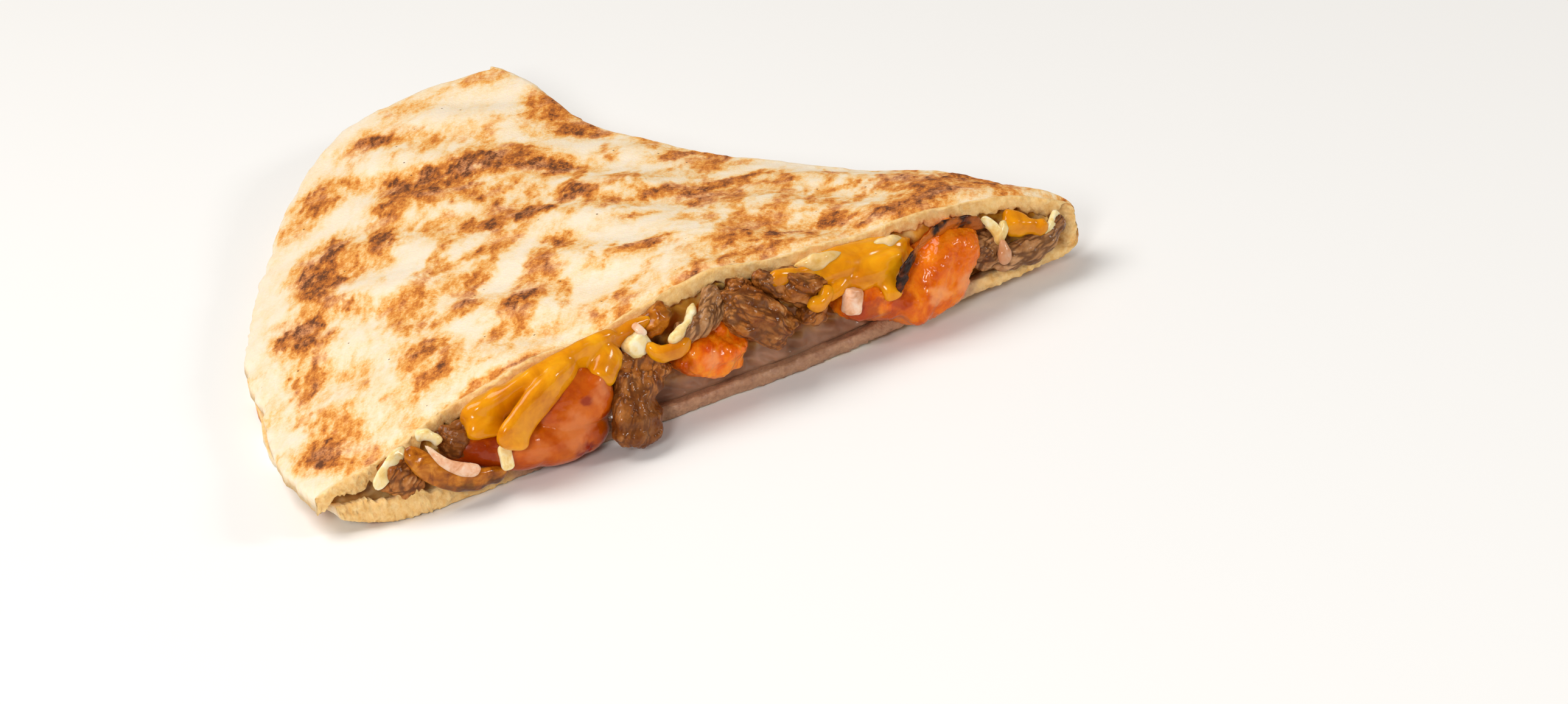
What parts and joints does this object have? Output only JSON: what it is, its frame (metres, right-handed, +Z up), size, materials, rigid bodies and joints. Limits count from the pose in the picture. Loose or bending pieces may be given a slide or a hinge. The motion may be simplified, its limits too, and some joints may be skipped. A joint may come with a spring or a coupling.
{
  "type": "quesadilla wedge",
  "caption": "Wedge of folded flour tortilla, browned in patches, with shrimp, beef, onion, white cheese and melted cheddar showing along its straight cut edge.",
  "frame": {"origin": "centre of the footprint's bounding box, on the surface that the wedge rests on", "axes": "+Z up; the cut that shows the filling faces -Y and runs along X, with the folded tip at +X and the round open rim at -X; the folded edge is at the back"},
  "size_m": [0.1558, 0.1562, 0.0243],
  "materials": {
    "tortilla": "griddled flour tortilla, dry and floury",
    "white_cheese": "melted white cheese, translucent and oily",
    "cheddar": "melted cheddar, glossy",
    "shrimp": "cooked shrimp in sauce, wet",
    "beef": "grilled beef strips, moist",
    "onion": "fried onion, translucent amber",
    "charred_onion": "onion strip with a charred edge",
    "cheese_shred": "half-melted white cheese shreds"
  },
  "bodies": {
    "root": {"tortilla": "tortilla", "shrimp_left": "shrimp", "shrimp_middle": "shrimp", "shrimp_right": "shrimp", "beef_under_rim": "beef", "beef_behind_onion": "beef", "beef_hanging": "beef", "beef_bent": "beef", "beef_chunk": "beef", "beef_scrap_left": "beef", "beef_scrap_right": "beef", "beef_slab": "beef", "beef_crumb": "beef", "beef_tip": "beef", "onion_left": "onion", "onion_charred": "charred_onion", "onion_browned": "onion", "shred_under_rim": "cheese_shred", "shred_pink": "cheese_shred", "shred_curl": "cheese_shred", "shred_under_drip": "cheese_shred", "cheese_cube": "cheese_shred", "shred_grey": "cheese_shred", "cube_on_shrimp": "cheese_shred", "shred_tip_left": "cheese_shred", "shred_tip_right": "cheese_shred", "onion_seed": "cheese_shred", "white_melt": "white_cheese", "cheddar_drip": "cheddar", "cheddar_smile": "cheddar", "cheddar_on_beef": "cheddar", "cheddar_melt": "cheddar", "cheddar_tip": "cheddar", "melted_cheese": "white_cheese"}
  },
  "joints": []
}
